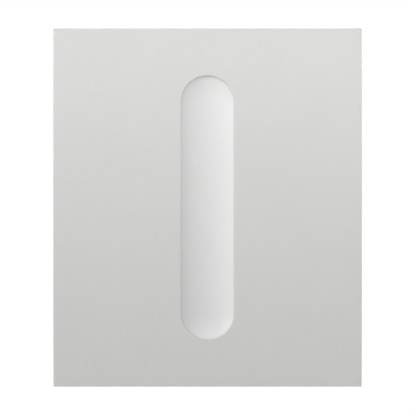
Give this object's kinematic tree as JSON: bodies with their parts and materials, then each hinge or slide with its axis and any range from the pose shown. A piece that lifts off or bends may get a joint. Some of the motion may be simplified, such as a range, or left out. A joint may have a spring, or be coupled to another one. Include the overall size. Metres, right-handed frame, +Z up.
{
  "type": "battery wall touch unit",
  "caption": "Flat wall touch unit run on coin cells: a finger groove and light bar down the front, magnets to a wall plate, and a screw-locked battery drawer in the bottom edge.",
  "frame": {"origin": "middle of the wall plate's back, on the wall", "axes": "+Z up, +X to the right seen from the front, +Y into the wall; the front faces -Y"},
  "size_m": [0.071, 0.016, 0.0826],
  "materials": {
    "panel_plastic": "fine matte",
    "diffuser_plastic": "satin translucent",
    "housing_plastic": "fine matte",
    "plate_plastic": "matte",
    "white_plastic": "satin",
    "black_plastic": "satin",
    "board_green": "satin solder mask",
    "film_amber": "satin",
    "foam_tape": "matte",
    "steel": "satin",
    "cell_metal": "satin",
    "nickel": "polished",
    "brass": "satin",
    "copper": "satin"
  },
  "bodies": {
    "wall_plate": {"wall_plate": "plate_plastic", "keeper_strip_top": "steel", "keeper_strip_bottom": "steel", "tape_pad_left": "foam_tape", "tape_pad_right": "foam_tape"},
    "unit": {"front_panel": "panel_plastic", "groove_diffuser": "diffuser_plastic", "light_reflector": "white_plastic", "touch_film": "film_amber", "film_connector": "black_plastic", "main_board": "board_green", "led_1": "white_plastic", "led_2": "white_plastic", "led_3": "white_plastic", "led_4": "white_plastic", "led_5": "white_plastic", "led_6": "white_plastic", "radio_board": "board_green", "radio_shield": "steel", "antenna_coil": "copper", "touch_controller": "black_plastic", "buffer_capacitor": "steel", "sounder": "black_plastic", "cap_contact_left": "brass", "cap_contact_right": "brass", "can_contact_left": "brass", "can_contact_right": "brass", "pair_switch": "black_plastic", "power_switch": "steel", "rear_housing": "housing_plastic", "magnet_1": "nickel", "magnet_2": "nickel", "magnet_3": "nickel", "magnet_4": "nickel", "housing_screw_1": "steel", "housing_screw_2": "steel", "housing_screw_3": "steel", "housing_screw_4": "steel", "board_screw_1": "steel", "board_screw_2": "steel", "drawer_insert": "brass"},
    "drawer": {"battery_drawer": "panel_plastic", "coin_cell_left": "cell_metal", "coin_cell_right": "cell_metal"},
    "drawer_screw": {"drawer_screw": "steel"},
    "pair_button": {"pair_button": "white_plastic", "pair_switch_stem": "black_plastic"},
    "power_slider": {"power_slider": "black_plastic"}
  },
  "joints": [
    {"name": "unit_pull", "type": "slide", "parent": "wall_plate", "child": "unit", "axis": [0, -1, 0], "range_m": [0, 0.03]},
    {"name": "drawer_slide", "type": "slide", "parent": "unit", "child": "drawer", "axis": [0, 0, -1], "range_m": [0, 0.029]},
    {"name": "drawer_screw_turn", "type": "hinge", "parent": "drawer", "child": "drawer_screw", "pos_m": [0.029, -0.00655, -0.0411], "axis": [0, 0, -1], "continuous": true},
    {"name": "pair_button_press", "type": "slide", "parent": "unit", "child": "pair_button", "axis": [0, -1, 0], "range_m": [0, 0.0006], "stiffness_N_per_m": 300},
    {"name": "power_slide", "type": "slide", "parent": "unit", "child": "power_slider", "axis": [1, 0, 0], "range_m": [0, 0.002]}
  ]
}
